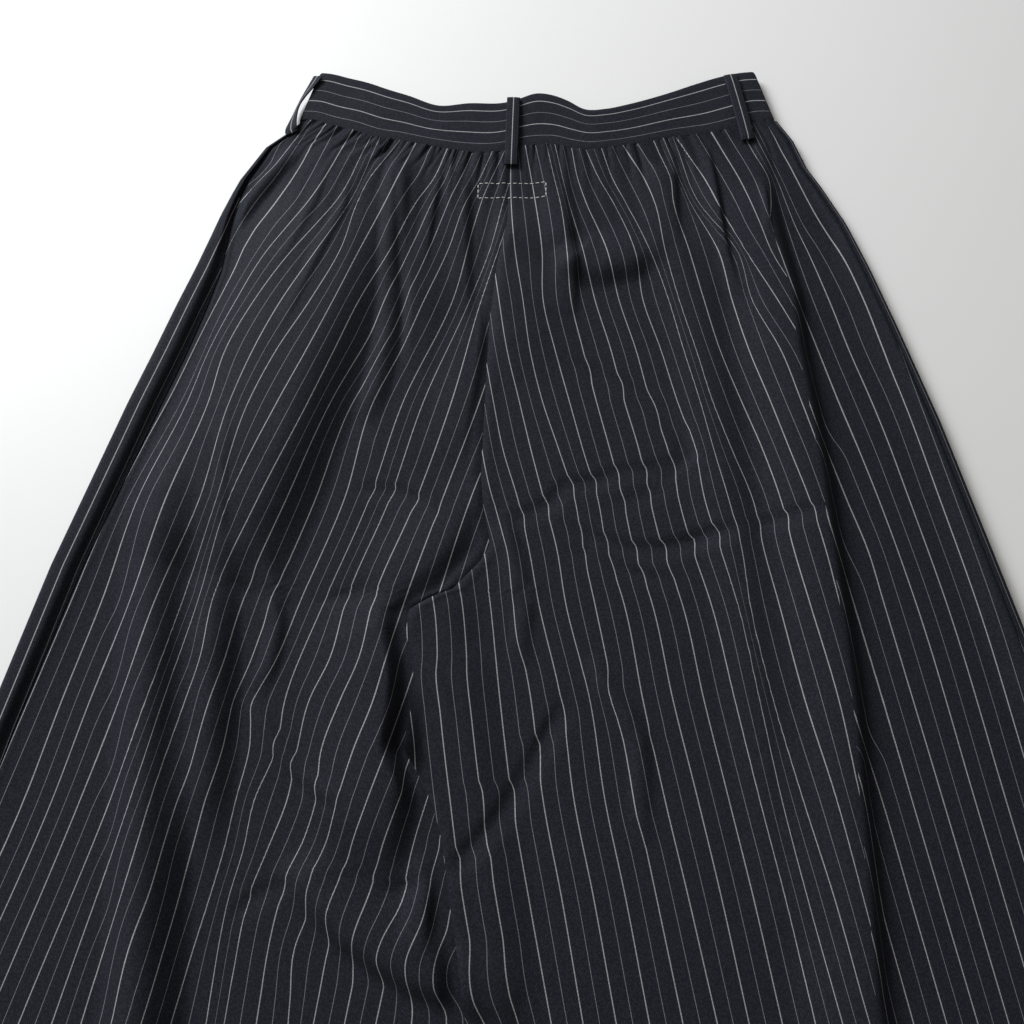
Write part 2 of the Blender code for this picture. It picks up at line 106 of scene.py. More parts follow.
# Outer edges: y, distance from x = 0, width of front cloth folded over on top, height of that fold
RIGHT_EDGE = [
    (443, 201, 5.0, 7.0), (425, 212, 5.0, 7.0), (401, 220, 5.2, 7.0), (385, 229, 5.4, 7.0),
    (354, 244, 5.6, 7.2), (317, 257, 5.8, 7.5), (274, 270, 6.0, 8.0), (200, 291, 6.5, 8.5),
    (100, 315, 7.0, 9.0), (0, 339, 7.0, 9.0), (-161, 376, 7.0, 9.0), (-300, 405, 7.0, 8.5),
    (-480, 440, 7.0, 8.0),
]
LEFT_EDGE = [
    (442, 160, 5.0, 7.0), (430, 172, 5.0, 7.0), (419, 185, 5.0, 7.5), (405, 193, 5.5, 8.0),
    (391, 201.5, 6.0, 8.0), (377, 207, 6.5, 8.5), (360, 213, 9.0, 9.0), (340, 219, 13.0, 9.5),
    (316, 226.5, 18.0, 10.0), (286, 237, 21.0, 10.5), (250, 249, 22.0, 10.5), (213, 262, 22.0, 10.5),
    (100, 298, 20.0, 10.0), (0, 324, 18.0, 10.0), (-161, 362, 17.0, 10.0), (-300, 395, 15.0, 9.0),
    (-480, 442, 12.0, 8.0),
]

# How much higher a row is at its outer end: y at the inner end, difference
ROW_TILT = [
    (WAIST_ROW, WAIST_TILT), (350, 16), (277, 12), (170, 10), (72, 10), (-65, 15), (-250, 30), (-540, 60),
]

# Folds of the back panels: spread left (or below), spread right (or above), then x, y, rise along it
FOLDS = {
    "left shoulder": (10, 9, [
        (-159, 422, 0), (-169, 405, 4), (-183, 384, 5), (-198, 361, 4), (-205, 349, 0)]),
    "left outer roll": (32, 46, [
        (-125, 418, 1.5), (-141, 398, 2), (-158, 365, 2.4), (-175, 328, 2.4), (-187, 292, 2.4),
        (-195, 257, 2.4), (-202, 223, 2.2), (-207, 187, 2), (-211, 160, 0)]),
    "left middle roll": (106, 42, [
        (-88, 418, 1), (-99, 389, 5), (-112, 344, 9.5), (-123, 298, 12.5), (-137, 251, 15),
        (-148, 210, 15.5), (-157, 175, 15.5), (-167, 142, 13.5), (-176, 113, 9), (-183, 89, 0)]),
    "left inner roll": (12, 12, [
        (-82, 418, 1.5), (-85, 385, 4), (-86, 339, 5), (-85, 298, 5), (-88, 260, 4.5), (-94, 223, 3.5),
        (-103, 199, 0)]),
    "left of the tack": (32, 8, [
        (-37, 405, 1), (-36, 378, 3), (-35, 344, 3.6), (-34, 308, 3), (-32, 279, 0)]),
    "left of the seam": (30, 7, [
        (-24, 293, 0), (-24, 261, 2.5), (-28, 227, 3), (-33, 194, 2), (-36, 170, 0)]),
    "crotch roll": (50, 17, [
        (-32, 158, 0), (-34, 139, 3), (-42, 117, 5.5), (-56, 100, 6), (-75, 89, 4.5), (-91, 84, 0)]),
    "left low outer": (28, 27, [
        (-235, 188, 0), (-232, 150, 7), (-230, 103, 11), (-226, 52, 13.5), (-222, -2, 14.5),
        (-217, -52, 15), (-212, -105, 15), (-209, -155, 14), (-224, -480, 4)]),
    "left low middle": (25, 19, [
        (-195, 118, 0), (-191, 91, 6), (-188, 52, 9.5), (-185, 4, 9.5), (-184, -36, 7), (-184, -67, 2),
        (-182, -89, 0)]),
    "left low bump": (10, 8, [
        (-163, 113, 0), (-154, 88, 3), (-149, 62, 3.5), (-152, 38, 3), (-160, 19, 0)]),
    "left low inner": (62, 18, [
        (-88, 87, 0), (-82, 62, 7), (-78, 37, 10), (-74, 13, 10.5), (-71, -10, 11), (-72, -36, 10),
        (-75, -61, 7), (-82, -89, 0)]),
    "right main fold": (48, 14, [
        (181, 428, 0), (183, 391, 4), (184, 365, 8), (188, 336, 9), (195, 295, 10.5), (195, 252, 11.5),
        (199, 212, 11.5), (202, 166, 11.5), (204, 109, 11.5), (206, 58, 11.5), (207, 10, 11.5),
        (205, -41, 11.5), (204, -95, 11.5), (202, -146, 11.5), (208, -300, 8), (218, -480, 4)]),
    "right outer tuck": (24, 6, [
        (144, 416, 2), (148, 381, 4), (150, 347, 4), (156, 311, 1.5), (161, 293, 0)]),
    "right middle roll": (28, 26, [
        (109, 383, 2), (121, 332, 3), (131, 268, 3.5), (138, 201, 4), (143, 144, 4), (149, 91, 4),
        (154, 28, 4), (159, -31, 3), (162, -97, 2)]),
    "right upper tuck": (26, 6, [(115, 412, 0), (118, 394, 3), (118, 369, 2.5), (119, 338, 0)]),
    "right inner roll": (22, 7, [
        (27, 416, 1), (35, 377, 3.5), (40, 343, 4.5), (43, 321, 4.5), (42, 292, 2), (41, 278, 0)]),
    "right ledge beside the seam": (22, 30, [(-12, 357, 0), (4, 347, 3), (24, 337, 2.4), (36, 324, 0)]),
    "right ledge": (17, 34, [
        (35, 334, 0), (43, 322, 5.5), (64, 318, 6.5), (84, 323, 6.2), (98, 335, 3), (106, 347, 0)]),
}
# Finer tucks along the cloth, in the same columns
TUCKS = {
    "left notch": (5, 4, [(-206, 369, 0), (-204, 356, 1.4), (-206, 342, 0)]),
    "left pucker": (3, 4, [(-100, 435, 0), (-100, 419, 1.6), (-103, 405, 0)]),
    "left pucker side": (4, 3, [(-90, 430, 0), (-96, 417, 1.8), (-105, 414, 0)]),
    "left lit streak": (8, 4, [
        (-119, 394, 0), (-122, 362, 1.5), (-137, 323, 1.5), (-150, 289, 1.2), (-161, 262, 0)]),
    "left lit streak 2": (8, 4, [(-136, 406, 0), (-142, 370, 1.2), (-156, 337, 1), (-166, 313, 0)]),
    "left low ridge": (8, 6, [(-189, 217, 0), (-190, 166, 1.2), (-188, 132, 1.4), (-185, 98, 0)]),
    "left tack tuck": (10, 4, [(-54, 406, 0), (-56, 379, 1.6), (-60, 349, 1.8), (-63, 317, 0)]),
    "left tack tuck 2": (9, 4, [(-45, 419, 0), (-46, 396, 1.2), (-49, 371, 0)]),
    "right tuck": (10, 3, [(146, 419, 0), (149, 387, 1.3), (152, 353, 1.4), (155, 323, 1), (163, 293, 0)]),
    "right small tuck": (5, 3, [(95, 417, 0), (106, 402, 1.2), (118, 391, 0)]),
    "right fold pocket": (5, 3, [(182, 388, 0), (184, 376, 2), (184, 351, 2), (186, 342, 0)]),
    "left tack slope": (9, 30, [
        (-78, 406, 0), (-76, 373, 4), (-73, 322, 5), (-70, 287, 4.5), (-70, 261, 2.5), (-68, 238, 0)]),
    "right of the seam": (20, 62, [
        (0, 379, 0), (-1, 340, 3.6), (-3, 299, 4.6), (0, 264, 3.6), (6, 228, 0)]),
    "left wavy crease": (14, 7, [
        (-106, 202, 0), (-92, 187, 1.6), (-75, 171, 2), (-58, 156, 2), (-44, 142, 0)]),
    "right thin tuck": (7, 4, [(36, 410, 0), (40, 385, 1.3), (45, 362, 1.3), (49, 342, 0)]),
}
# Creases across the cloth, in the same columns
CREASES = {
    "left crotch crease": (11, 4, [
        (-106, 153, 0), (-95, 155, -1.1), (-75, 153, -1.4), (-58, 144, -1.3), (-42, 132, 0)]),
    "left crease 2": (5, 7, [(-161, 105, 0), (-149, 88, 1.4), (-142, 75, 0)]),
    "left crease 3": (11, 4, [(-124, 79, 0), (-107, 83, -1), (-90, 82, -1.2), (-73, 83, 0)]),
    "left low jog": (6, 8, [
        (-165, 22, 0), (-156, 6, 2), (-144, -12, 2.4), (-128, -28, 2.2), (-114, -38, 1.6),
        (-101, -42, 0)]),
    "left low crease a": (11, 4, [
        (-166, -111, 0), (-158, -100, -1.3), (-147, -92, -1.4), (-133, -89, -1), (-125, -88, 0)]),
    "left low dive": (15, 30, [
        (-134, -74, 0), (-123, -86, 5), (-109, -100, 7), (-93, -114, 8), (-75, -126, 8),
        (-54, -137, 7.5), (-30, -145, 6), (5, -154, 0)]),
    "left low crease b": (11, 4, [(-83, -98, 0), (-70, -92, -1.4), (-54, -87, -1.6), (-43, -79, 0)]),
    "left low crease c": (5, 5, [(-125, -80, 0), (-107, -81, 1), (-92, -82, 0)]),
    "left low edge": (16, 8, [(-45, -71, 0), (-48, -89, 4.5), (-51, -107, 5), (-54, -128, 0)]),
    "right crease 1": (11, 5, [
        (-8, 129, 0), (7, 136, -1.2), (24, 144, -1.7), (36, 157, -1.4), (56, 160, -1.8), (74, 167, -1.2),
        (91, 168, -1.6), (110, 175, 0)]),
    "right ring": (12, 6, [
        (33, 253, 0), (60, 238, -1.3), (83, 226, -1.6), (101, 211, -1.9), (117, 194, -2.1),
        (121, 177, -1.9), (107, 164, -1.4), (85, 154, 0)]),
    "right crease 2": (11, 4, [(58, 142, 0), (78, 147, -1), (100, 155, -1.1), (119, 164, 0)]),
    "right deep crease": (12, 5, [
        (32, 132, 0), (51, 122, -1.2), (76, 114, -1.6), (97, 114, -2), (115, 118, -2.4),
        (126, 122, -2.6), (138, 125, -2.4), (149, 129, 0)]),
    "right crease 3": (11, 4, [(154, 127, 0), (171, 132, -1.6), (190, 137, -1.6), (209, 140, 0)]),
    "right crease 4": (11, 4, [(55, 110, 0), (70, 101, -1), (93, 95, -1), (116, 92, 0)]),
    "right crease 5": (11, 4, [(31, 115, 0), (48, 110, -1), (57, 101, 0)]),
    "right low jog": (9, 10, [
        (47, 44, 0), (57, 26, 2.4), (70, 8, 3), (77, -7, 3), (78, -28, 2.6), (77, -51, 1.8),
        (82, -70, 0)]),
    "right low crease": (12, 6, [
        (-42, -87, 0), (-25, -69, -2.4), (-7, -49, -2), (9, -25, -2), (25, 3, -2), (35, 19, 0)]),
    "right crotch crease": (10, 9, [
        (-8, 142, 0), (-3, 121, 2.6), (3, 98, 3), (8, 75, 2.6), (6, 53, 2), (5, 35, 0)]),
    "right leg crease": (6, 6, [(-56, 53, 0), (-48, 33, 1), (-40, 14, 1), (-35, 1, 0)]),
}
TWILL = 1.3  # from one twill line to the next, along the stripes' count
JOG = 1.8  # how many pixels a crease moves the stripes sideways, for each millimetre that it rises

# Stripes of the right back panel, counted from the inner side: row and column of the photograph.
# Even stripes are bold and odd ones thin. Those in RIGHT_OUTER lie beyond the main fold.
NO = None  # where a stripe has no traced column
RIGHT_INNER_ROWS = (150, 180, 200, 225, 250, 300, 350, 400, 450, 500, 550, 600, 700, 800, 900, 1000)
RIGHT_INNER = {
    0: (NO, NO, NO, NO, NO, NO, NO, NO, NO, 403, NO, 433, 439, 450, 463, 481),
    4: (NO, NO, NO, NO, NO, NO, NO, 438, NO, 470, 484, 490, 500, 512, 529, 547),
    6: (NO, NO, NO, NO, NO, NO, NO, 474, NO, 493, 511, 514, 531, 543, 562, 579),
    8: (NO, NO, NO, NO, NO, 476, NO, 493, 503, 518, 529, 538, 561, 574, 594, 612),
    10: (486, NO, NO, NO, 492, 499, 507, 519, 531, 544, 557, 565, 590, 605, 626, 645),
    12: (511, NO, 511, NO, 515, 523, 530, 542, 559, 575, 583, 594, 615, 636, 657, 678),
    14: (526, NO, 535, NO, 542, 543, 555, 569, 583, 598, 607, 623, 643, 665, 689, 712),
    16: (548, 555, 560, NO, 567, 571, 583, 596, 610, 623, 634, 651, 673, 698, 722, 744),
    18: (556, NO, 568, NO, 583, 595, 611, 624, 639, 650, 663, 681, 704, 729, 754, 777),
    20: (572, 578, 585, NO, 607, 619, 636, 650, 668, 679, 693, 710, 735, 760, 786, 810),
    22: (586, 600, 612, NO, 635, 643, 661, 677, 695, 705, 721, 737, 760, 782, 808, 836),
    24: (602, 613, 624, NO, 650, 669, 684, 700, 714, 729, 742, 749, 773, 803, 835, 863),
    26: (626, 645, 654, NO, 665, 679, 696, 712, 732, 753, 764, 778, 805, 837, 864, 890),
    28: (658, 671, 673, NO, 689, 704, 720, 741, 763, 781, 794, 809, 839, 861, 888, 914),
    29: (664, NO, 686, NO, 704, 719, 735, 755, 776, 795, 810, 825, 853, 878, NO, NO),
    30: (668, NO, 689, NO, 718, 732, 749, 770, 790, 810, 826, 839, 868, 892, NO, NO),
    31: (673, NO, 693, NO, 731, 747, 765, 785, 806, 824, NO, 855, NO, NO, NO, NO),
    32: (678, NO, 697, NO, 737, 752, 781, 801, 820, 840, NO, 870, NO, NO, NO, NO),
    33: (681, NO, 706, NO, 741, 762, 793, 815, NO, NO, NO, NO, NO, NO, NO, NO),
    34: (684, 705, 716, NO, 745, 778, 808, 836, 855, NO, NO, NO, NO, NO, NO, NO),
    35: (706, 724, 735, 747, 762, 790, NO, 846, NO, NO, NO, NO, NO, NO, NO, NO),
    36: (722, 740, 750, 761, 771, 803, NO, 862, NO, NO, NO, NO, NO, NO, NO, NO),
    38: (752, 769, 774, 780, 790, 822, NO, 886, NO, NO, NO, NO, NO, NO, NO, NO),
}
RIGHT_OUTER_ROWS = (150, 180, 200, 225, 250, 300, 350, 400, 450, 500, 550, 600, 650, 700, 750, 800, 900,
    1000)
RIGHT_OUTER = {
    32: (NO, NO, NO, NO, NO, NO, NO, NO, NO, NO, NO, NO, NO, 850, 866, 882, 911, 940),
    34: (684, 705, 716, NO, 738, 754, NO, 784, NO, 822, NO, 853, 868, 883, NO, 912, NO, 971),
    36: (722, 740, 750, 761, NO, 776, 791, 808, 827, 847, 868, 883, NO, NO, NO, 943, NO, 1002),
    38: (752, 769, 771, 770, 779, 798, 818, 838, 859, 879, NO, 915, NO, NO, NO, 975, NO, 1034),
    39: (757, 773, 779, NO, 795, 813, 833, 854, 875, 894, NO, 930, NO, NO, NO, 990, NO, 1050),
    41: (767, 782, 791, 803, 819, 845, 865, 888, NO, 925, NO, 961, NO, NO, NO, 1022, NO, 1081),
    43: (795, NO, 825, NO, 858, 881, NO, 919, NO, 956, NO, 992, NO, NO, NO, 1053, NO, 1112),
}
# Stripes of the left back panel, counted the same way
LEFT_ROWS = (150, 165, 180, 200, 225, 250, 300, 350, 400, 500, 600, 660, 700, 750, 800, 850, 900, 950,
    1000)
LEFT = {
    0: (NO, NO, NO, NO, NO, NO, NO, NO, NO, NO, NO, NO, 500, NO, 473, NO, 452, 445, 446),
    4: (NO, NO, NO, NO, NO, NO, NO, NO, NO, NO, 500, NO, 464, NO, 427, 412, 402, 392, 381),
    8: (NO, NO, NO, NO, NO, NO, NO, NO, 512, 470, 437, NO, 404, 386, 367, 350, 342, 328, 318),
    10: (NO, NO, NO, NO, NO, NO, 512, NO, 480, 442, 405, 385, 373, 353, 337, 325, 314, 294, 290),
    12: (NO, NO, NO, NO, NO, 498, 481, NO, 452, 416, 373, 358, 340, 321, 316, 300, 280, 268, 260),
    14: (520, NO, NO, 504, NO, 490, 470, NO, 424, 389, 346, 329, 309, 297, 287, 267, 247, 237, 228),
    16: (505, NO, NO, 482, 474, NO, 453, NO, 404, 369, 325, NO, 285, 276, 254, 243, 228, 218, 210),
    18: (493, NO, 479, 467, NO, 448, 424, 401, 374, 344, 301, 276, 254, 249, 236, 224, 209, 193, 178),
    21: (463, NO, 450, 441, NO, 419, 397, 374, 343, 300, 258, NO, 224, 208, 191, 175, 163, NO, 133),
    24: (447, NO, 433, 418, NO, 390, 359, 334, 309, 257, 212, 199, 185, NO, 150, 135, NO, NO, 88),
    26: (412, NO, 396, 386, NO, 359, 333, 306, 278, 228, 198, NO, 163, NO, 130, NO, NO, NO, 60),
    28: (392, NO, 368, 358, NO, 340, 310, 276, 249, 216, 183, 161, 146, NO, 110, NO, NO, NO, 28),
    30: (374, NO, NO, 351, NO, 316, 281, NO, 230, 199, 155, NO, 119, NO, 80, NO, NO, NO, -4),
    32: (364, NO, NO, 337, 315, 292, 254, 225, 209, 165, 130, NO, 90, NO, 52, NO, NO, NO, -36),
    34: (341, NO, 323, 309, 288, 267, 236, 209, 188, 137, 102, NO, 62, NO, 24, NO, NO, NO, -68),
    35: (324, NO, 308, 296, 275, 258, 228, NO, 182, 127, 86, NO, NO, NO, NO, NO, NO, NO, -84),
    37: (294, 284, 273, 257, 240, NO, 207, NO, 154, 102, 59, NO, NO, NO, NO, NO, NO, NO, -116),
    38: (287, 275, 260, 242, NO, 216, 190, 164, 139, 88, 44, NO, NO, NO, NO, NO, NO, NO, -133),
}


def ease(t):
    t = np.clip(t, 0, 1)
    return t * t * (3 - 2 * t)


def down(line, y, column=1):
    """Value of a line's column at y, for lines that run down the garment."""
    rows = line[::-1]
    return np.interp(y, [row[0] for row in rows], [row[column] for row in rows])


def inseam(leg, y):
    return down(RIGHT_INSEAM if leg > 0 else LEFT_INSEAM, y)


def edge(leg, y, column=1):
    return down(RIGHT_EDGE if leg > 0 else LEFT_EDGE, y, column)


def inner_line(leg, y, front):
    """x of a panel's inner boundary: the centre seam, then the inseam."""
    seam = down(BACK_SEAM, y) + (4 * ease((y - CROTCH_ROW) / 20) if front else 0)
    return np.where(y >= CROTCH_ROW, seam, inseam(leg, y))


def band_edge(x, top=False):
    """y of the band's top or lower edge."""
    first = 0 if top else 2
    return smooth_line([(p[first], p[first + 1]) for p in BAND_EDGES], np.asarray(x, float))


def fold_rise(folds, x, y):
    """Sum of the folds at each point, each fading to nothing at its spread."""
    total = np.zeros_like(x)
    for left, right, points in folds.values():
        nearest = np.full(x.shape, 1e9)
        rise = np.zeros_like(x)
        sign = np.zeros_like(x)
        for (ax, ay, ar), (bx, by, br) in zip(points, points[1:]):
            dx, dy = bx - ax, by - ay
            t = np.clip(((x - ax) * dx + (y - ay) * dy) / (dx * dx + dy * dy), 0, 1)
            away = np.hypot(x - ax - t * dx, y - ay - t * dy)
            closer = away < nearest
            nearest = np.where(closer, away, nearest)
            rise = np.where(closer, ar + t * (br - ar), rise)
            sign = np.where(closer, (x - ax) * dy - (y - ay) * dx, sign)
        # Left of a fold that runs down, and below one that runs to the right, the sign is positive.
        spread = np.where(sign > 0, left, right)
        total += rise * (1 - np.clip(nearest / spread, 0, 1) ** 2) ** 2
    return total


def leg_lift(x, y):
    """Height of the right leg's underside where it lies over the left leg."""
    inner = np.where(y >= CROTCH_ROW, -50, np.maximum(down(LEFT_INSEAM, y), -50))
    over = ease((inner - down(RIGHT_INSEAM, y) + 30) / 20)
    height = np.where(y >= CROTCH_ROW, ease((CROTCH_ROW + 40 - y) / 40), over)
    return LEG_LIFT * ease((inner + 34 - x) / 28) * height


def edge_top(leg, height):
    """Height of the cloth at the side seam, for the height of the fold beside it."""
    return np.minimum(height, 5.2 if leg < 0 else 9.0)


def back_top(x, y, leg, below):
    """Height of a back panel's upper face. below is the distance under the waistband."""
    z = PANEL_TOP + GATHER_TOP * np.exp(-below / 35) + fold_rise(FOLDS, x, y) * ease(below / 30)
    z = np.maximum(z, PANEL_TOP - 0.4) + fold_rise(TUCKS, x, y) + fold_rise(CREASES, x, y)
    side = ease(1 - (edge(leg, y) - edge(leg, y, 2) - leg * x) / (24 - 14 * ease((y - 310) / 40)))
    seam = edge_top(leg, edge(leg, y, 3))
    z = z + (seam + 2.5 * np.exp(-below / 25) * (leg < 0) - z) * side * ease(below / 15)
    # The seam allowances stand up a little on both sides of the centre seam, which is a groove.
    away = np.abs(x - inner_line(leg, y, False))
    z = z + 0.5 * np.exp(-(((away - 5) / 4) ** 2)) - 0.5 * np.exp(-((away / 1.6) ** 2))
    away = edge(leg, y) - edge(leg, y, 2) - leg * x
    z = z + 0.4 * np.exp(-(((away - 3) / 1.6) ** 2)) - 0.7 * np.exp(-((away / 1.3) ** 2))
    if leg > 0:
        return z + leg_lift(x, y)
    beside = np.exp(-(((x - down(BACK_SEAM, y)) / 22) ** 2))
    z = z + 1.4 * beside * ease((y - CROTCH_ROW) / 14) * ease((CROTCH_ROW + 40 - y) / 30)
    # Under the right leg the left leg is plain and flat.
    plain = ease((x - inseam(1, y) + 16) / 12) * ease((CROTCH_ROW + 4 - y) / 4)
    return z + (3.4 - z) * plain


def front_lift(below):
    """The front panels step up to the band, over the ends of the hidden belt loops."""
    return 2.1 * ease((46 - below) / 28)


def gather_wave(leg, fraction, x, below):
    """Uneven tucks under the waistband: narrow and sharp, dying out at different lengths."""
    draw = np.random.default_rng(GATHER_SEED + leg)
    places = (np.arange(GATHERS) + 0.5 + draw.uniform(-0.36, 0.36, GATHERS)) / GATHERS
    depths, widths = draw.uniform(0.6, 2.4, GATHERS), draw.uniform(0.9, 1.8, GATHERS)
    lengths, leans = draw.uniform(6, 32, GATHERS), draw.uniform(-0.14, 0.14, GATHERS)
    across = np.abs(x - x[0])
    under = max(below, 0.0)
    wave = 0.45 * np.sin(2 * math.pi * fraction * GATHERS * 0.61 + leg) * math.exp(-under / 45)
    for place, depth, width, length, lean in zip(places, depths, widths, lengths, leans):
        away = across - np.interp(place, fraction, across) + lean * under
        wide = width * (1 + under / 40)
        ridge = np.exp(-((away / wide) ** 2)) - 0.45 * np.exp(-((away / (2.6 * wide)) ** 2))
        wave = wave - depth * ridge * math.exp(-((under / length) ** 1.5))
    for loop_x in FLAT_LOOPS_X:
        wave = wave * (1 - 0.8 * np.exp(-(((x - loop_x) / 7) ** 4)))
    return wave * ease((x - GATHER_LEFT) / 10) * ease((GATHER_RIGHT - x) / 10)


def side_edge(leg, row):
    """Place of a row's outer end: y, reach, width folded over and height of that fold."""
    y = row + down(ROW_TILT, row)
    return [y] + [edge(leg, y, column) for column in (1, 2, 3)]


def row_points(leg, row, x):
    """y of points along a row at distances x from the middle, and distance under the band."""
    x_in = float(inner_line(leg, np.array(float(row)), False)) * leg
    outer_y, reach, width, _ = side_edge(leg, row)
    share = (x - x_in) / (reach - width - x_in)
    top = band_edge(leg * x) - 0.6
    follow = math.exp(-(((WAIST_ROW - row) / 60) ** 2))
    y = row + (outer_y - row) * share
    return y + (top - (WAIST_ROW + WAIST_TILT * share)) * follow, WAIST_ROW - row


def in_photo(points):
    """Column and row of the photograph where a point shows."""
    x, y, z = points[..., 0] * IN_PLAN, points[..., 1] * IN_PLAN, points[..., 2]
    scale = CAMERA_Z / (CAMERA_Z - z)
    down_angle = np.arctan(y * scale / CAMERA_Z)
    angle = down_angle - math.radians(CAMERA_TILT)
    depth = CAMERA_Z * np.cos(angle) / np.cos(down_angle)
    return PHOTO_MIDDLE + x * scale * FOCAL / depth, PHOTO_MIDDLE - FOCAL * np.tan(angle)


def smooth_line(line, row):
    """Column of a line at rows, smoothly between its points and straight beyond its ends."""
    rows, columns = (np.array(c, float) for c in zip(*line))
    slopes = np.gradient(columns, rows)
    i = np.clip(np.searchsorted(rows, row) - 1, 0, len(rows) - 2)
    step = rows[i + 1] - rows[i]
    t = np.clip((row - rows[i]) / step, 0, 1)
    curve = ((1 + 2 * t) * (1 - t) ** 2 * columns[i] + t * (1 - t) ** 2 * step * slopes[i]
             + t * t * (3 - 2 * t) * columns[i + 1] + t * t * (t - 1) * step * slopes[i + 1])
    beyond = np.where(row < rows[0], (row - rows[0]) * slopes[0], 0)
    return curve + beyond + np.where(row > rows[-1], (row - rows[-1]) * slopes[-1], 0)


def courses(rows, stripes):
    """Each stripe as a line of rows and columns, from its columns on the given rows."""
    return {number: [(row, column) for row, column in zip(rows, columns) if column is not NO]
            for number, columns in stripes.items()}


def step_lengths(row):
    return np.linalg.norm(np.diff(row, axis=0), axis=1)


def distances(steps):
    """Distance of each point of a row from its start."""
    return np.concatenate([[0], np.cumsum(steps)])


def stripe_numbers(points, stripes, middle, hidden=None):
    """Stripe number at each point of a grid, from where the stripes cross its rows.

    Between two stripes the number grows with the length of cloth, so steep cloth shows them closer.
    Steps that are hidden count by their width in the picture. Past the photograph's last row the
    stripes soon run evenly spaced, counted from the grid's middle column."""
    column, row = in_photo(points)
    column = column + JOG * fold_rise(CREASES, points[..., 0], points[..., 1])
    numbers = np.zeros(column.shape)
    for r in range(len(points)):
        steps = step_lengths(points[r])
        cloth = distances(steps)
        if hidden is not None:
            steps = np.where(hidden, PHOTO_PIXEL * np.abs(np.diff(column[r])), steps)
        along = distances(steps)
        sign = 1 if column[r, -1] > column[r, 0] else -1
        places = []
        for number, line in sorted(stripes.items()):
            past = (column[r] - smooth_line(line, row[r])) * sign
            if past[0] > 0:
                place = -past[0] * PHOTO_PIXEL
            elif past[-1] < 0:
                place = along[-1] - past[-1] * PHOTO_PIXEL
            else:
                i = int(np.argmax(past > 0)) or 1
                share = past[i - 1] / (past[i - 1] - past[i])
                place = along[i - 1] + share * (along[i] - along[i - 1])
            places.append((max(place, places[-1][0] + 0.2 if places else -1e9), number))
        first, last = places[0], places[-1]
        places = [(first[0] - 50 * HALF_PITCH, first[1] - 50)] + places
        places.append((last[0] + 50 * HALF_PITCH, last[1] + 50))
        numbers[r] = np.interp(along, [p[0] for p in places], [p[1] for p in places])
        if row[r, middle] < LAST_ROW:
            kept = numbers[r, middle]
            continue
        even = kept + (cloth - cloth[middle]) / HALF_PITCH
        numbers[r] += ease((row[r, middle] - LAST_ROW) / EVEN_AFTER) * (even - numbers[r])
    return numbers


def add_object(name, data):
    made = bpy.data.objects.new(name, data)
    bpy.context.scene.collection.objects.link(made)
    return made


def add_smooth(name, mesh, material):
    mesh.polygons.foreach_set("use_smooth", np.ones(len(mesh.polygons), bool))
    mesh.materials.append(material)
    return add_object(name, mesh)


def add_mesh(name, points, faces, uvs, material):
    """Mesh from points in the tables' millimetres, with u counted in stripes and v in half pitches."""
    placed = np.array(points, float) * MM
    placed[:, 0] = placed[:, 0] * IN_PLAN + SHIFT_X * MM
    placed[:, 1] = placed[:, 1] * IN_PLAN + SHIFT_Y * MM
    mesh = bpy.data.meshes.new(name)
    mesh.from_pydata(placed.tolist(), [], [list(f) for f in faces])
    layer = mesh.uv_layers.new(name="cloth")
    layer.data.foreach_set("uv", np.array(uvs, np.float32).ravel())
    made = add_smooth(name, mesh, material)
    mesh.set_sharp_from_angle(angle=math.radians(50))
    return made


def closed_sheet(name, upper, lower, number, material, other=None, crest=None):
    """Closed wall between two grids of points, with a stripe number at each point of the grid.

    Cells past the crest's column take their numbers from the other grid."""
    rows, columns = upper.shape[:2]
    count = rows * columns
    corner = (np.arange(rows - 1)[:, None] * columns + np.arange(columns - 1)).ravel()
    top = np.stack([corner, corner + columns, corner + columns + 1, corner + 1], axis=1)
    length = np.concatenate([np.zeros((1, columns)),
                             np.cumsum(np.linalg.norm(np.diff(upper, axis=0), axis=2), axis=0)])
    v = (length / HALF_PITCH).ravel()
    u = np.stack([number.ravel()[top], v[top]], axis=2)
    if other is not None:
        past = corner % columns >= crest
        u[..., 0] = np.where(past[:, None], other.ravel()[top], u[..., 0])
    under = top[:, ::-1] + count
    rim = list(range(columns)) + [r * columns + columns - 1 for r in range(1, rows)]
    rim += [count - 2 - c for c in range(columns - 1)] + [r * columns for r in range(rows - 2, 0, -1)]
    rim = np.array(rim)
    after = np.roll(rim, -1)
    sides = np.stack([rim, after, after + count, rim + count], axis=1)
    flat_u = number.ravel()
    side_uv = np.stack([flat_u[sides % count], v[sides % count]], axis=2)
    faces = np.concatenate([top, under, sides])
    uvs = np.concatenate([u, u[:, ::-1], side_uv])
    points = np.concatenate([upper.reshape(-1, 3), lower.reshape(-1, 3)])
    # The grids are walked down and outward, so the left ones are turned over to face outward.
    a, b, c = points[faces[0][0]], points[faces[0][1]], points[faces[0][2]]
    if np.cross(b - a, c - b)[2] * (upper[0, 0, 2] - lower[0, 0, 2]) < 0:
        faces, uvs = faces[:, ::-1], uvs[:, ::-1]
    return add_mesh(name, points, faces.tolist(), uvs, material)


def joined(x, y, z):
    return np.stack([x, y, z + np.zeros_like(x)], axis=-1)


def table_rows():
    """Rows down a panel: close together in view, wider apart towards the hem."""
    return np.concatenate([np.linspace(WAIST_ROW, 374, 30), np.linspace(371, -170, 166),
                           np.linspace(-182, -505, 20), [HEM_ROW + 1, HEM_ROW, -525, END_ROW]])


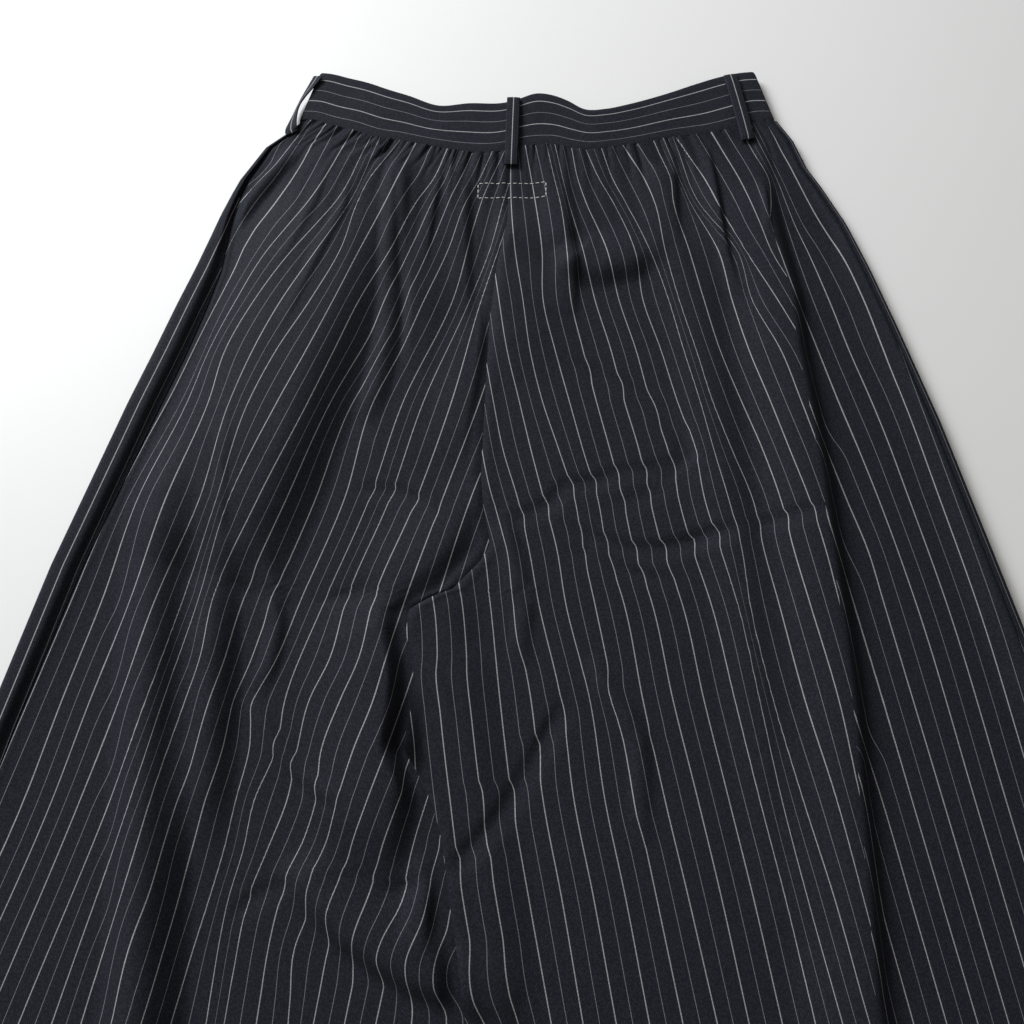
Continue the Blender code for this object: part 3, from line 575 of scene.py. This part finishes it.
def crest_x(row):
    """Where a row of the right leg crosses the crest of the main fold."""
    line = [(y, x) for x, y, rise in FOLDS["right main fold"][2]]
    x = down(line, row)
    for _ in range(4):
        x = down(line, row_points(1, row, x)[0])
    return x


def back_panel(name, leg, stripes, material, beyond=None):
    """beyond is the stripes past the main fold, whose crest hides some cloth."""
    upper, lower = [], []
    crest = CREST_COLUMN if beyond else PANEL_COLUMNS
    for row in table_rows():
        _, reach, width, _ = side_edge(leg, row)
        x_in = leg * float(inner_line(leg, np.array(row), False)) + SEAM_GAP / 2
        x_out = reach - width - SEAM_GAP
        x = np.linspace(x_in, x_out, PANEL_COLUMNS + 1)
        if beyond:
            fold_x = crest_x(row)
            x = np.concatenate([np.linspace(x_in, fold_x, crest + 1),
                                np.linspace(fold_x, x_out, PANEL_COLUMNS - crest + 1)[1:]])
        y, below = row_points(leg, row, x)
        shares = (x - x_in) / (x_out - x_in)
        x = leg * x
        top = back_top(x, y, leg, below) + gather_wave(leg, shares, x, below)
        wall = CLOTH + HEM_EXTRA * (row <= HEM_ROW)
        upper.append(joined(x, y, top + wall - CLOTH))
        lower.append(joined(x, y, top - CLOTH))
    upper, lower = np.array(upper), np.array(lower)
    if beyond is None:
        return closed_sheet(name, upper, lower, stripe_numbers(upper, stripes, crest // 2), material)
    past = np.arange(PANEL_COLUMNS) >= crest
    number = stripe_numbers(upper, stripes, crest // 2, past)
    other = stripe_numbers(upper, beyond, (crest + PANEL_COLUMNS) // 2, ~past)
    return closed_sheet(name, upper, lower, number, material, other, crest)


def front_panel(name, leg, first, material):
    """The panel on the surface, rolled up over the side edge and ended at the side seam."""
    outside, inside = [], []
    rows = np.concatenate([np.linspace(WAIST_ROW, 380, 8), np.linspace(376, -170, 110),
                           np.linspace(-185, -505, 20), [-525, END_ROW]])
    for row in rows:
        _, reach, width, height = side_edge(leg, row)
        radius = height / 2
        x_in = leg * float(inner_line(leg, np.array(row), True)) + SEAM_GAP / 2
        flat = np.linspace(x_in, reach - radius, 40)
        turn = np.radians(np.linspace(-90, 90, 15)[1:])
        strip = np.linspace(reach - radius, reach - width + SEAM_GAP / 2, STRIP_STEPS + 1)[1:]
        drop = ease(np.linspace(0, 1, STRIP_STEPS + 1)[1:] * 2 - 1) * (height - edge_top(leg, height))
        x_low = np.concatenate([flat, reach - radius + radius * np.cos(turn), strip])
        x_high = np.concatenate([flat, reach - radius + (radius - CLOTH) * np.cos(turn), strip])
        y, below = row_points(leg, row, x_low)
        lift = front_lift(below) * ease((reach - radius - flat) / 30)
        if leg > 0:
            lift = lift + leg_lift(flat, y[:len(flat)])
        z_low = np.concatenate([lift, radius + radius * np.sin(turn), height - drop])
        z_high = np.concatenate([lift + CLOTH, radius + (radius - CLOTH) * np.sin(turn),
                                 height - drop - CLOTH])
        outside.append(joined(leg * x_low, y, z_low)[::-1])
        inside.append(joined(leg * x_high, y, z_high)[::-1])
    outside, inside = np.array(outside), np.array(inside)
    # The first stripe is the one that shows beside the edge; the rest are counted from it.
    number = np.zeros(outside.shape[:2])
    for r in range(len(rows)):
        along = distances(step_lengths(outside[r]))
        start = along[STRIP_STEPS] - (5.0 if leg < 0 else 9.0)
        number[r] = first + (along - start) / HALF_PITCH
    return closed_sheet(name, outside, inside, number, material)


def waistband(name, material):
    """One flattened ring, with its two ends lapped at centre front."""
    radius = (BACK_BAND_Z - FRONT_BAND_Z) / 2
    middle = FRONT_BAND_Z + BAND / 2 + radius
    low, lap = FRONT_BAND_Z + BAND / 2, FRONT_BAND_Z + 1.5 * BAND + 0.3
    first = BAND_EDGES[0][2] + radius + BAND / 2
    last = BAND_EDGES[-1][2] - radius - BAND / 2
    stops = [(x, 0, low, -90) for x in np.linspace(10, first + 3, 50)]
    for x, side in ((first, -1), (last, 1)):
        angles = np.linspace(-90, 90, 13)
        turn = [(x, side * radius * math.cos(math.radians(a)),
                 middle + radius * math.sin(math.radians(a)), a if side > 0 else 180 - a)
                for a in angles]
        if side > 0:
            stops += [(x_back, 0, middle + radius, 90) for x_back in np.linspace(first + 2, last - 2, 170)]
        stops += turn[::-side]
    stops += [(x, 0, low, -90) for x in np.linspace(last - 3, 26, 50)]
    stops += [(14, 0, lap, -90), (4, 0, lap, -90), (-12, 0, lap, -90)]
    outer, inner = [], []
    shares = np.linspace(0, 1, 23)
    for share in shares:
        # The band is two layers pressed together: thinner at its folded top edge and along its stitching.
        press = BAND / 2 - 0.45 * math.exp(-((share / 0.03) ** 2))
        press -= 0.35 * math.exp(-(((1 - share) / 0.03) ** 2))
        rows = ([], [])
        for x_low, out, z, face in stops:
            x_top = np.interp(x_low, [p[2] for p in BAND_EDGES], [p[0] for p in BAND_EDGES])
            x = x_top + share * (x_low - x_top) + out
            y = band_edge(x_top, True) + share * (band_edge(x_low) - band_edge(x_top, True))
            ripple = 0.25 * math.sin(x_low / 9.0 + 1.5 * share) * math.sin(math.pi * share) * (z > middle)
            nx, nz = math.cos(math.radians(face)), math.sin(math.radians(face))
            rows[0].append((x + nx * press, y, z + ripple + nz * press))
            rows[1].append((x - nx * BAND / 2, y, z + ripple - nz * BAND / 2))
        outer.append(rows[0])
        inner.append(rows[1])
    outer, inner = np.array(outer, float), np.array(inner, float)
    number = np.repeat((shares[:, None] * BAND_HEIGHT - BAND_STRIPE) / HALF_PITCH, len(stops), axis=1)
    return closed_sheet(name, outer, inner, number, material)


# Belt loop in section: distance from its top end, underside, upper side
LOOP_BACK = [
    (0, 8.6, 10.2), (1.5, 8.4, 10.8), (7, 8.4, 11.2), (9, 9.8, 11.4), (24, 10.0, 11.6),
    (43, 9.8, 11.4), (46, 8.8, 11.3), (57, 8.4, 10.8), (60, 8.5, 10.0),
]
LOOP_FRONT = [(0, 0.0, 1.2), (2, 0.0, 1.6), (30, 0.0, 1.6), (58, 0.0, 1.6), (60, 0.0, 1.2)]
LOOP_WIDE = 10.0
# Left loop, standing out from the end of the band: x, y, z, degrees its width leans from upright
LOOP_LEFT = [
    (-148.7, 481.9, 8.0, 62), (-151.8, 476.7, 7.2, 58), (-155.2, 470.8, 6.8, 52),
    (-158.9, 464.5, 6.4, 44), (-162.3, 456.8, 6.4, 36), (-164.2, 449.5, 6.9, 38),
    (-165.2, 442.9, 7.8, 48), (-165.7, 436.6, 8.8, 60), (-165.5, 432.4, 9.0, 76),
    (-164.7, 430.3, 8.4, 86),
]
LOOP_WALL = 1.2

# Running stitch across the centre back
TACK_X, TACK_Y = (-25, 25), (376, 388)
STITCH, STITCH_PITCH, THREAD = 2.6, 4.0, 0.55


def belt_loop(name, start, end, section, material):
    """A strap laid from start to end, with the same section across its width."""
    start, end = np.array(start, float), np.array(end, float)
    along = (end - start) / np.linalg.norm(end - start)
    across = np.array([-along[1], along[0]])
    length = section[-1][0]
    reach = np.linalg.norm(end - start) / length
    stations = np.unique(np.concatenate([np.linspace(0, length, 61), [s[0] for s in section]]))
    sides = np.linspace(-1, 1, 25)
    upper = np.zeros((len(stations), len(sides), 3))
    lower = np.zeros_like(upper)
    for i, station in enumerate(stations):
        low, high = (np.interp(station, [s[0] for s in section], [s[k] for s in section]) for k in (1, 2))
        place = start + along * station * reach
        crown = (high - low) * (1 - 0.45 * np.abs(sides) ** 8)
        crown = crown - 0.22 * np.exp(-(((np.abs(sides) - 0.66) / 0.1) ** 2))
        for j, side in enumerate(sides):
            x, y = place + across * side * LOOP_WIDE / 2
            upper[i, j] = (x, y, low + crown[j])
            lower[i, j] = (x, y, low)
    number = np.broadcast_to(sides * LOOP_WIDE / 2 / HALF_PITCH, upper.shape[:2])
    return closed_sheet(name, upper, lower, number, material)


def standing_loop(name, stations, material):
    """A strap whose width turns from upright to flat along its length."""
    stations = np.array(stations, float)
    fine = np.linspace(0, len(stations) - 1, 55)
    stations = np.stack([np.interp(fine, range(len(stations)), column) for column in stations.T], axis=1)
    for _ in range(4):
        stations[1:-1] = (stations[:-2] + 2 * stations[1:-1] + stations[2:]) / 4
    centres = stations[:, :3]
    paths = np.gradient(centres, axis=0)
    sides = np.linspace(-1, 1, 11)
    upper = np.zeros((len(stations), len(sides), 3))
    lower = np.zeros_like(upper)
    for i, (centre, path, lean) in enumerate(zip(centres, paths, np.radians(stations[:, 3]))):
        path = path / np.linalg.norm(path)
        side = np.cross([0, 0, 1], path)
        side = side / np.linalg.norm(side)
        wide = np.array([0, 0, 1]) * math.cos(lean) + side * math.sin(lean)
        wall = np.cross(path, wide)
        for j, across in enumerate(sides):
            half = LOOP_WALL / 2 * (1 - 0.4 * abs(across) ** 6)
            upper[i, j] = centre + wide * across * LOOP_WIDE / 2 + wall * half
            lower[i, j] = centre + wide * across * LOOP_WIDE / 2 - wall * half
    number = np.broadcast_to(sides * LOOP_WIDE / 2 / HALF_PITCH, upper.shape[:2])
    return closed_sheet(name, upper, lower, number, material)


def tack_stitches(name, panels, material):
    """A plain rectangle of running stitch below the waistband, lying on the back panels."""
    trees = [BVHTree.FromPolygons([v.co for v in p.data.vertices], [f.vertices for f in p.data.polygons])
             for p in panels]
    (x0, x1), (y0, y1) = TACK_X, TACK_Y
    corners = [(x0, y1), (x1, y1), (x1, y0), (x0, y0)]
    shape = bmesh.new()
    for start, end in zip(corners, corners[1:] + corners[:1]):
        start, end = np.array(start, float), np.array(end, float)
        length = np.linalg.norm(end - start)
        count = round(length / STITCH_PITCH)
        along = (end - start) / length
        for i in range(count):
            middle = start + along * (i + 0.5) * length / count
            ring = []
            for part in np.linspace(-1, 1, 9):
                place = middle + along * part * STITCH / 2
                x, y = place[0] * IN_PLAN + SHIFT_X, place[1] * IN_PLAN + SHIFT_Y
                hits = [tree.ray_cast(((x + aside) * MM, y * MM, 0.1), (0, 0, -1))[0]
                        for tree in trees for aside in (-0.5, 0.5)]
                ring.append((x, y, max(hit.z for hit in hits if hit) / MM + 0.1 * (1 - part * part)))
            tube(shape, ring, THREAD)
    mesh = bpy.data.meshes.new(name)
    shape.to_mesh(mesh)
    shape.free()
    return add_smooth(name, mesh, material)


def tube(shape, path, wide):
    """Adds a thin closed tube along a path of points in millimetres, tapered at its ends."""
    path = np.array(path)
    ways = np.gradient(path, axis=0)
    rings = []
    for i, (place, way) in enumerate(zip(path, ways)):
        way = way / np.linalg.norm(way)
        side = np.cross(way, (0, 0, 1))
        side = side / np.linalg.norm(side)
        rise = np.cross(side, way)
        half = wide / 2 * (0.45 if i in (0, len(path) - 1) else 1)
        rings.append([shape.verts.new((place + half * (math.cos(a) * side + math.sin(a) * rise)) * MM)
                      for a in np.linspace(0, 2 * math.pi, 7)[:-1]])
    for a, b in zip(rings, rings[1:]):
        for j in range(6):
            shape.faces.new((a[j], b[j], b[(j + 1) % 6], a[(j + 1) % 6]))
    shape.faces.new(rings[0][::-1])
    shape.faces.new(rings[-1])


class Nodes:
    """Short calls that add shader nodes to a material."""

    def __init__(self, name):
        self.material = bpy.data.materials.new(name)
        self.material.use_nodes = True
        self.tree = self.material.node_tree
        self.surface = self.tree.nodes["Principled BSDF"]

    def link(self, source, target):
        self.tree.links.new(source, target)

    def add(self, kind, **values):
        node = self.tree.nodes.new(kind)
        for key, value in values.items():
            setattr(node, key, value)
        return node

    def math(self, operation, *inputs):
        node = self.add("ShaderNodeMath", operation=operation)
        for i, value in enumerate(inputs):
            if isinstance(value, (int, float)):
                node.inputs[i].default_value = value
            else:
                self.link(value, node.inputs[i])
        return node.outputs[0]

    def step(self, value, low, high, to_low=0.0, to_high=1.0):
        node = self.add("ShaderNodeMapRange", interpolation_type="SMOOTHSTEP")
        self.link(value, node.inputs["Value"])
        for key, number in (("From Min", low), ("From Max", high), ("To Min", to_low), ("To Max", to_high)):
            node.inputs[key].default_value = number
        return node.outputs["Result"]

    def mix(self, share, first, second):
        node = self.add("ShaderNodeMix", data_type="RGBA")
        self.link(share, node.inputs["Factor"])
        for key, value in (("A", first), ("B", second)):
            slot = [s for s in node.inputs if s.name == key and s.type == "RGBA"][0]
            if isinstance(value, tuple):
                slot.default_value = (*value, 1)
            else:
                self.link(value, slot)
        return [s for s in node.outputs if s.type == "RGBA"][0]

    def noise(self, scale, detail):
        place = self.add("ShaderNodeTexCoord")
        node = self.add("ShaderNodeTexNoise")
        node.inputs["Scale"].default_value = scale
        node.inputs["Detail"].default_value = detail
        self.link(place.outputs["Object"], node.inputs["Vector"])
        return node.outputs["Fac"]

    def bump(self, height, strength, distance, under=None):
        node = self.add("ShaderNodeBump")
        node.inputs["Strength"].default_value = strength
        node.inputs["Distance"].default_value = distance
        self.link(height, node.inputs["Height"])
        if under:
            self.link(under, node.inputs["Normal"])
        return node.outputs["Normal"]


def suiting_material():
    """Dark twill with bold and thin chalk stripes drawn by stripe number."""
    n = Nodes("dark striped suiting")
    uv = n.add("ShaderNodeUVMap", uv_map="cloth")
    parts = n.add("ShaderNodeSeparateXYZ")
    n.link(uv.outputs["UV"], parts.inputs["Vector"])
    u, v = parts.outputs["X"], parts.outputs["Y"]
    pair = n.math("MULTIPLY", u, 0.5)
    from_bold = n.math("MULTIPLY", n.math("ABSOLUTE", n.math("SUBTRACT", pair, n.math("ROUND", pair))),
                       2 * HALF_PITCH)
    from_thin = n.math("SUBTRACT", HALF_PITCH, from_bold)
    bold = n.step(from_bold, 0.20, 0.42, 1.0, 0.0)
    thin = n.step(from_thin, 0.06, 0.26, 1.0, 0.0)
    # Twill lines cross the stripes and break the pale yarn into short dashes.
    twill = n.math("SINE", n.math("MULTIPLY", n.math("ADD", u, n.math("MULTIPLY", v, 0.7)),
                                  2 * math.pi * HALF_PITCH / TWILL))
    yarn = n.step(twill, -1.0, 0.6, 0.72, 1.0)
    worn = n.step(n.noise(900, 2), 0.3, 0.7, 0.8, 1.1)
    bold_amount = n.math("MULTIPLY", n.math("MULTIPLY", bold, yarn), worn)
    thin_amount = n.math("MULTIPLY", n.math("MULTIPLY", n.math("MULTIPLY", thin, yarn), worn), 0.8)
    cloud = n.noise(14, 3)
    ground = n.mix(cloud, (0.0138, 0.0146, 0.0196), (0.0168, 0.0178, 0.0238))
    speckle = n.math("MULTIPLY", n.step(n.noise(800, 2), 0.40, 0.62), n.step(twill, -1, 1, 0.15, 1.0))
    ground = n.mix(n.math("MULTIPLY", speckle, 0.6), ground, (0.038, 0.041, 0.053))
    striped = n.mix(thin_amount, ground, (0.28, 0.285, 0.30))
    striped = n.mix(bold_amount, striped, (0.37, 0.37, 0.375))
    n.link(striped, n.surface.inputs["Base Color"])
    n.link(n.step(cloud, 0.3, 0.7, 0.56, 0.68), n.surface.inputs["Roughness"])
    n.surface.inputs["Specular IOR Level"].default_value = 0.03
    n.surface.inputs["Sheen Weight"].default_value = 0.012
    n.surface.inputs["Sheen Roughness"].default_value = 0.45
    n.surface.inputs["Sheen Tint"].default_value = (0.75, 0.82, 1.0, 1)
    height = n.math("ADD", n.math("MULTIPLY", twill, 0.5), n.math("MULTIPLY", bold, 0.5))
    weave = n.bump(height, 0.25, 0.00012)
    n.link(n.bump(n.noise(55, 4), 0.35, 0.0012, weave), n.surface.inputs["Normal"])
    return n.material


def plain_material(name, first, second, scale, roughness):
    n = Nodes(name)
    grain = n.noise(scale, 3)
    n.link(n.mix(grain, first, second), n.surface.inputs["Base Color"])
    n.surface.inputs["Roughness"].default_value = roughness
    n.link(n.bump(grain, 0.2, 0.0002), n.surface.inputs["Normal"])
    return n.material


suiting = suiting_material()
thread = plain_material("pale thread", (0.62, 0.61, 0.58), (0.72, 0.71, 0.68), 2500, 0.6)
tape = plain_material("zip tape", (0.010, 0.011, 0.014), (0.022, 0.023, 0.028), 900, 0.7)

pieces = {
    "back_left": back_panel("cloth_back_left", -1, courses(LEFT_ROWS, LEFT), suiting),
    "back_right": back_panel("cloth_back_right", 1, courses(RIGHT_INNER_ROWS, RIGHT_INNER), suiting,
                             courses(RIGHT_OUTER_ROWS, RIGHT_OUTER)),
    "front_left": front_panel("cloth_front_left", -1, 38, suiting),
    "front_right": front_panel("cloth_front_right", 1, 44, suiting),
    "waistband": waistband("cloth_waistband", suiting),
    "belt_loop_back": belt_loop("strap_back", (1.3, 461), (-0.7, 402), LOOP_BACK, suiting),
    "belt_loop_right": belt_loop("strap_right", (166.6, 482), (176.4, 424), LOOP_BACK, suiting),
    "belt_loop_left": standing_loop("strap_left", LOOP_LEFT, suiting),
    "belt_loop_front_left": belt_loop("strap_front_left", (-95, 474), (-97, 414), LOOP_FRONT, suiting),
    "belt_loop_front_right": belt_loop("strap_front_right", (95, 457), (97, 397), LOOP_FRONT, suiting),
}
stitches = tack_stitches("tack_stitches", [pieces["back_left"], pieces["back_right"]], thread)
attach(stitches, "root")
for node, piece in pieces.items():
    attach(piece, "root")
    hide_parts(node)
zip_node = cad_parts["front_zip"]
zip_node.data.materials.clear()
zip_node.data.materials.append(tape)

# Floor
floor_mesh = bpy.data.meshes.new("floor")
floor_mesh.from_pydata([(-4, -4, 0), (4, -4, 0), (4, 4, 0), (-4, 4, 0)], [], [(0, 1, 2, 3)])
floor = add_object("floor", floor_mesh)
floor.location.z = -0.0002
floor_mesh.materials.append(plain_material("pale floor", (0.79, 0.785, 0.778), (0.81, 0.805, 0.798), 6, 0.6))

# The window, aimed at the upper half of the trousers
place = np.array((-1.35, 1.45, 1.12))
away = place - (0, 0.15, 0)
away /= np.linalg.norm(away)
light = bpy.data.lights.new("window", "AREA")
light.shape = "RECTANGLE"
light.size, light.size_y = 1.2, 0.8
light.energy = 63
light.color = (0.95, 0.975, 1.0)
window = add_object("window", light)
window.location = place
window.rotation_euler = (math.acos(away[2]), 0, math.atan2(away[1], away[0]) + math.pi / 2)

# The room, paler on the window's side and dimmer across from it
world = bpy.data.worlds.new("room")
world.use_nodes = True
room = world.node_tree
room.nodes["Background"].inputs["Color"].default_value = (1.0, 0.97, 0.93, 1)
way = room.nodes.new("ShaderNodeTexCoord")
facing = room.nodes.new("ShaderNodeVectorMath")
facing.operation = "DOT_PRODUCT"
facing.inputs[1].default_value = (-0.8, 0.6, 0.0)
room.links.new(way.outputs["Generated"], facing.inputs[0])
glow = room.nodes.new("ShaderNodeMapRange")
for key, number in (("From Min", -1.0), ("From Max", 1.0), ("To Min", 0.05), ("To Max", 0.50)):
    glow.inputs[key].default_value = number
room.links.new(facing.outputs["Value"], glow.inputs["Value"])
room.links.new(glow.outputs["Result"], room.nodes["Background"].inputs["Strength"])
bpy.context.scene.world = world
bpy.context.scene.view_settings.view_transform = "Standard"

# The photograph's viewpoint
lens = bpy.data.cameras.new("camera")
lens.sensor_width = 36
lens.lens = lens.sensor_width * FOCAL / PHOTO_SIZE
lens.clip_start = 0.01
camera = add_object("camera", lens)
camera.location = (SHIFT_X * MM, SHIFT_Y * MM, CAMERA_Z * MM)
camera.rotation_euler = (math.radians(CAMERA_TILT), 0, 0)
bpy.context.scene.camera = camera
